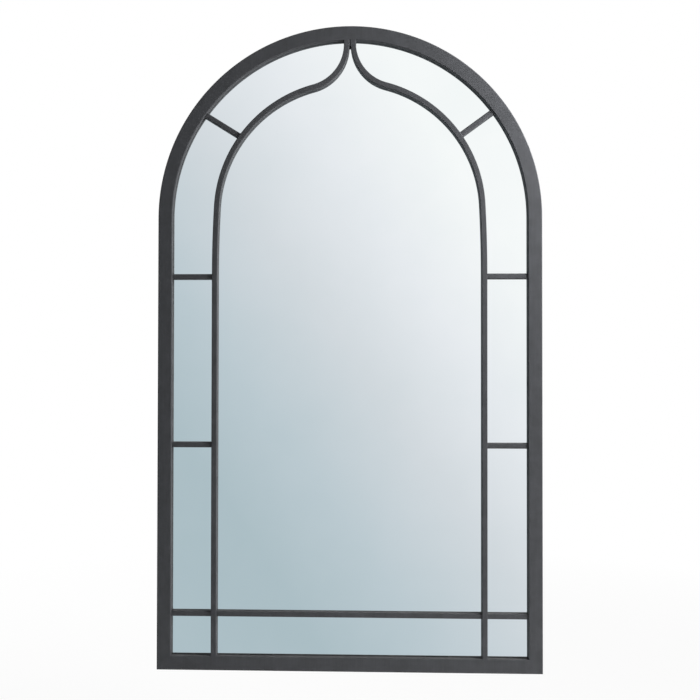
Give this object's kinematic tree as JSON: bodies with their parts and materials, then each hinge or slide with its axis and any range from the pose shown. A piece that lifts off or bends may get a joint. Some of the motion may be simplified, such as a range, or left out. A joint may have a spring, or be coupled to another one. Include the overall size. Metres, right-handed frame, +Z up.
{
  "type": "arched window mirror",
  "caption": "Wall mirror with a semicircular steel tube frame, ogee glazing bars over one sheet of mirror, a fibreboard back held by turn buttons, and swinging ring hangers.",
  "frame": {"origin": "middle of the bottom rail's underside, half way through the frame's depth", "axes": "+X to the right seen from the front, +Z up, the mirror faces -Y and its back is towards +Y"},
  "size_m": [0.7, 0.026, 1.175],
  "materials": {
    "charcoal_coat": "matt charcoal powder coat with a fine texture",
    "silvered_glass": "clear float glass silvered at the back",
    "zinc_steel": "zinc-plated pressed steel",
    "black_rubber": "matt moulded rubber",
    "white_foam": "thin closed-cell foam sheet",
    "fibreboard": "raw medium-density fibreboard"
  },
  "bodies": {
    "root": {"backing_board": "fibreboard", "base_left_bar": "charcoal_coat", "base_middle_bar": "charcoal_coat", "base_right_bar": "charcoal_coat", "bottom_rail": "charcoal_coat", "button_screw_arch_1": "zinc_steel", "button_screw_arch_2": "zinc_steel", "button_screw_arch_3": "zinc_steel", "button_screw_bottom_1": "zinc_steel", "button_screw_bottom_2": "zinc_steel", "button_screw_left_1": "zinc_steel", "button_screw_left_2": "zinc_steel", "button_screw_right_1": "zinc_steel", "button_screw_right_2": "zinc_steel", "foam_sheet": "white_foam", "frame_arch": "charcoal_coat", "glass_block_left": "black_rubber", "glass_block_right": "black_rubber", "hanger_screw_left_1": "zinc_steel", "hanger_screw_left_2": "zinc_steel", "hanger_screw_right_1": "zinc_steel", "hanger_screw_right_2": "zinc_steel", "hanger_strap_left": "zinc_steel", "hanger_strap_right": "zinc_steel", "left_long_bar": "charcoal_coat", "left_spoke_bar": "charcoal_coat", "left_stile": "charcoal_coat", "lower_left_bar": "charcoal_coat", "lower_right_bar": "charcoal_coat", "mirror_glass": "silvered_glass", "right_long_bar": "charcoal_coat", "right_spoke_bar": "charcoal_coat", "right_stile": "charcoal_coat", "upper_left_bar": "charcoal_coat", "upper_right_bar": "charcoal_coat", "wall_bumper_left": "black_rubber", "wall_bumper_right": "black_rubber"},
    "turn_button_left_1": {"turn_button_left_1": "zinc_steel"},
    "turn_button_right_1": {"turn_button_right_1": "zinc_steel"},
    "turn_button_left_2": {"turn_button_left_2": "zinc_steel"},
    "turn_button_right_2": {"turn_button_right_2": "zinc_steel"},
    "turn_button_arch_1": {"turn_button_arch_1": "zinc_steel"},
    "turn_button_arch_2": {"turn_button_arch_2": "zinc_steel"},
    "turn_button_arch_3": {"turn_button_arch_3": "zinc_steel"},
    "turn_button_bottom_1": {"turn_button_bottom_1": "zinc_steel"},
    "turn_button_bottom_2": {"turn_button_bottom_2": "zinc_steel"},
    "hanger_ring_left": {"hanger_ring_left": "zinc_steel"},
    "hanger_ring_right": {"hanger_ring_right": "zinc_steel"}
  },
  "joints": [
    {"name": "turn_button_left_1_turn", "type": "hinge", "parent": "root", "child": "turn_button_left_1", "pos_m": [-0.337, 0.0109, 0.19], "axis": [0, 1, 0], "continuous": true},
    {"name": "turn_button_right_1_turn", "type": "hinge", "parent": "root", "child": "turn_button_right_1", "pos_m": [0.337, 0.0109, 0.19], "axis": [0, 1, 0], "continuous": true},
    {"name": "turn_button_left_2_turn", "type": "hinge", "parent": "root", "child": "turn_button_left_2", "pos_m": [-0.337, 0.0109, 0.52], "axis": [0, 1, 0], "continuous": true},
    {"name": "turn_button_right_2_turn", "type": "hinge", "parent": "root", "child": "turn_button_right_2", "pos_m": [0.337, 0.0109, 0.52], "axis": [0, 1, 0], "continuous": true},
    {"name": "turn_button_arch_1_turn", "type": "hinge", "parent": "root", "child": "turn_button_arch_1", "pos_m": [0.27605, 0.0109, 1.01829], "axis": [0, 1, 0], "continuous": true},
    {"name": "turn_button_arch_2_turn", "type": "hinge", "parent": "root", "child": "turn_button_arch_2", "pos_m": [0, 0.0109, 1.162], "axis": [0, 1, 0], "continuous": true},
    {"name": "turn_button_arch_3_turn", "type": "hinge", "parent": "root", "child": "turn_button_arch_3", "pos_m": [-0.27605, 0.0109, 1.01829], "axis": [0, 1, 0], "continuous": true},
    {"name": "turn_button_bottom_1_turn", "type": "hinge", "parent": "root", "child": "turn_button_bottom_1", "pos_m": [-0.17, 0.0109, 0.013], "axis": [0, 1, 0], "continuous": true},
    {"name": "turn_button_bottom_2_turn", "type": "hinge", "parent": "root", "child": "turn_button_bottom_2", "pos_m": [0.17, 0.0109, 0.013], "axis": [0, 1, 0], "continuous": true},
    {"name": "hanger_ring_left_swing", "type": "hinge", "parent": "root", "child": "hanger_ring_left", "pos_m": [-0.337, 0.0129, 0.795], "axis": [-1, 0, 0], "range_deg": [0, 179]},
    {"name": "hanger_ring_right_swing", "type": "hinge", "parent": "root", "child": "hanger_ring_right", "pos_m": [0.337, 0.0129, 0.795], "axis": [-1, 0, 0], "range_deg": [0, 179]}
  ]
}
